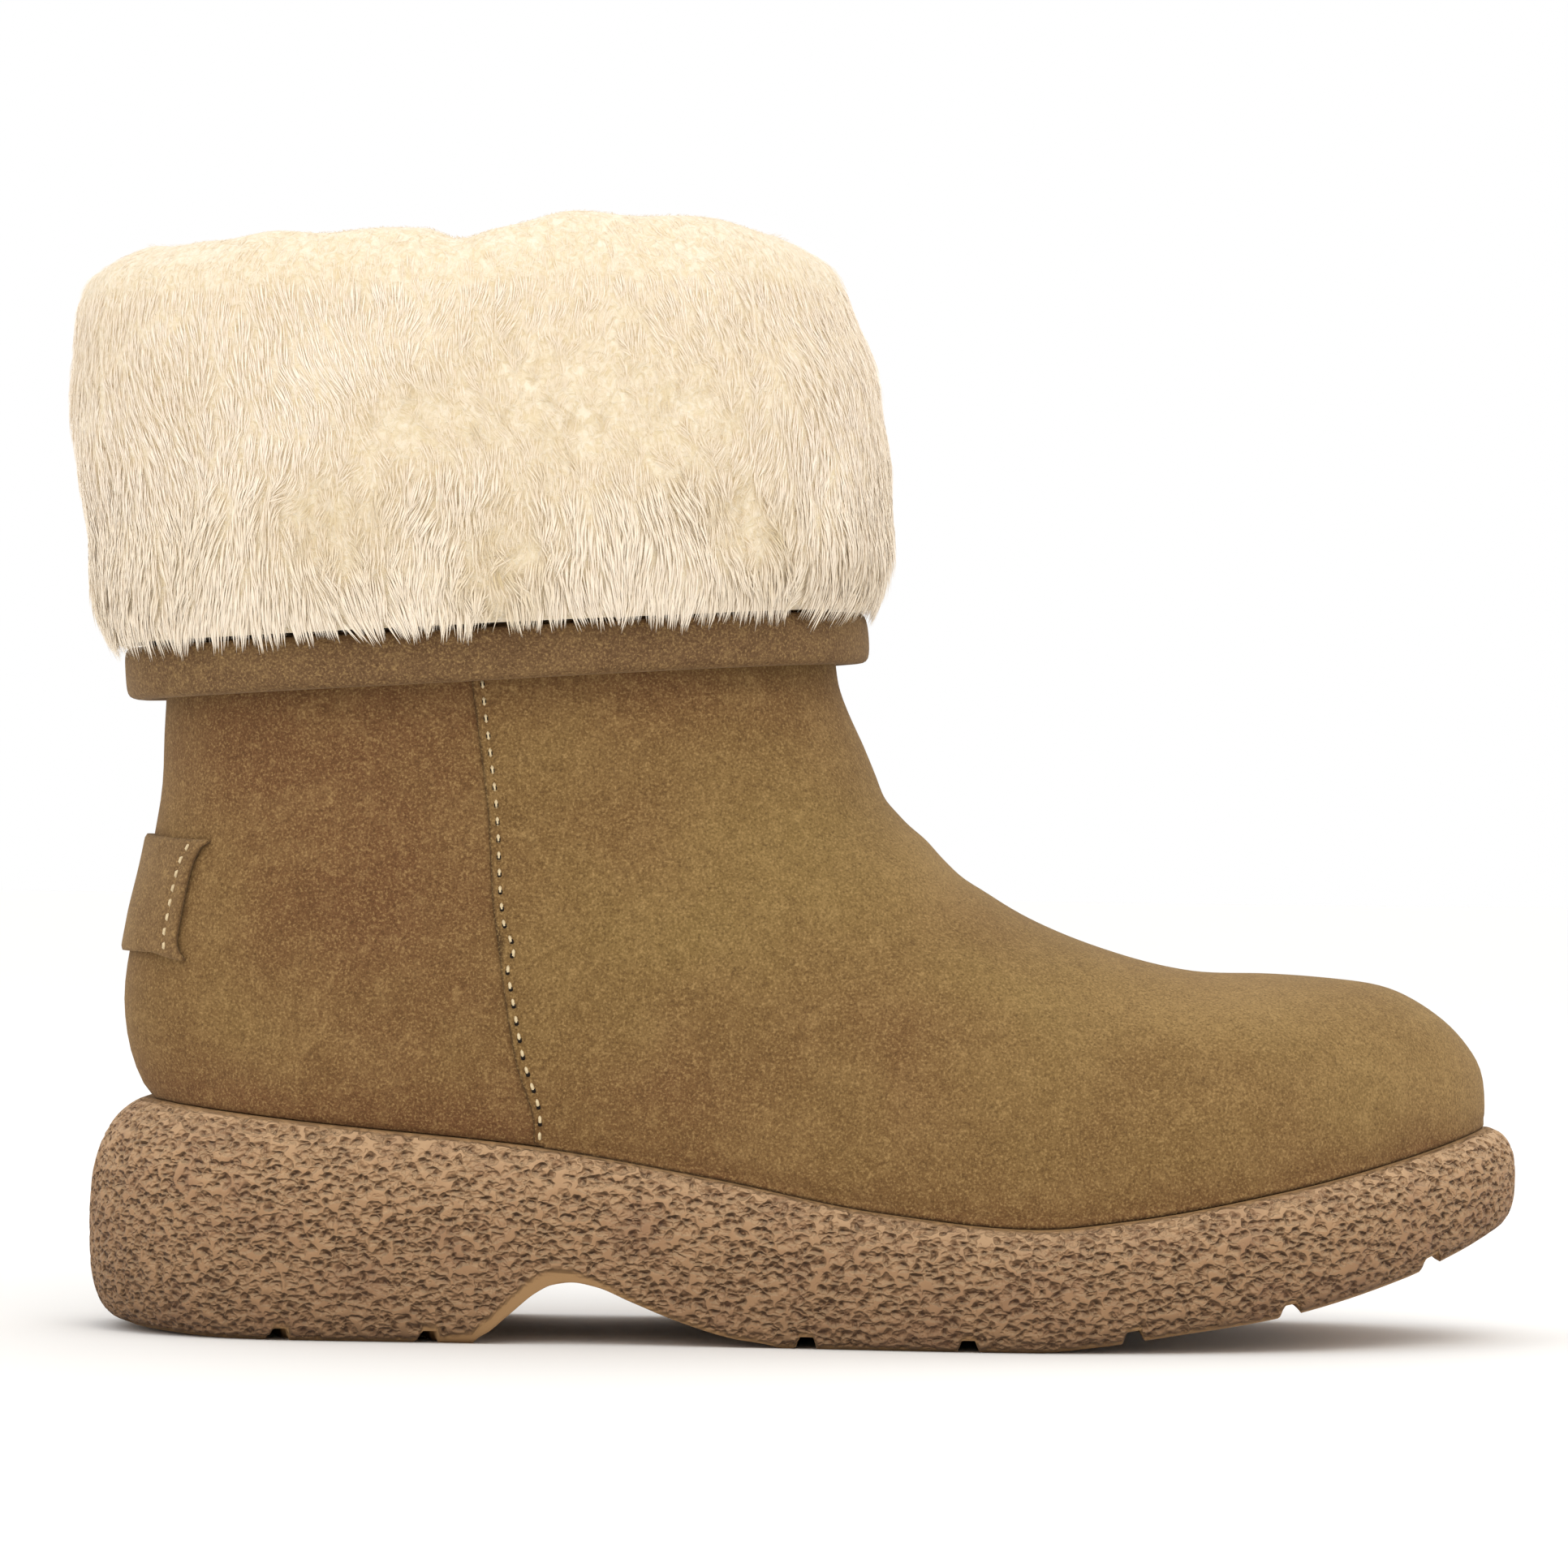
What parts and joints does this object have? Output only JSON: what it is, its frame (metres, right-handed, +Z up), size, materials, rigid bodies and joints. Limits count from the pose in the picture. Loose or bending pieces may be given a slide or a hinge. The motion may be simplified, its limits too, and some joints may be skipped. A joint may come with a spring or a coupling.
{
  "type": "sheepskin boot",
  "caption": "Sheepskin ankle boot for the right foot: hollow suede upper, turned-down fleece cuff with a suede binding, heel tab, insole and thick moulded sole with an arch and grooved tread.",
  "frame": {"origin": "middle of the boot's bounding box, on the floor that it stands on", "axes": "+X from heel to toe, +Y to the inner side of the foot, +Z up"},
  "size_m": [0.293, 0.128, 0.2219],
  "materials": {
    "sole_rubber": "matte moulded crepe-look rubber, pebbled sides",
    "upper_suede": "tan sheepskin suede, brushed nap",
    "wool_lining": "short cream wool pile",
    "cuff_wool": "deep combed cream fleece",
    "binding_suede": "tan suede strip, rolled edge",
    "tab_suede": "tan suede patch, bare"
  },
  "bodies": {
    "root": {"sole": "sole_rubber", "upper": "upper_suede", "insole": "wool_lining", "cuff_fleece": "cuff_wool", "cuff_binding": "binding_suede", "heel_tab": "tab_suede"}
  },
  "joints": []
}
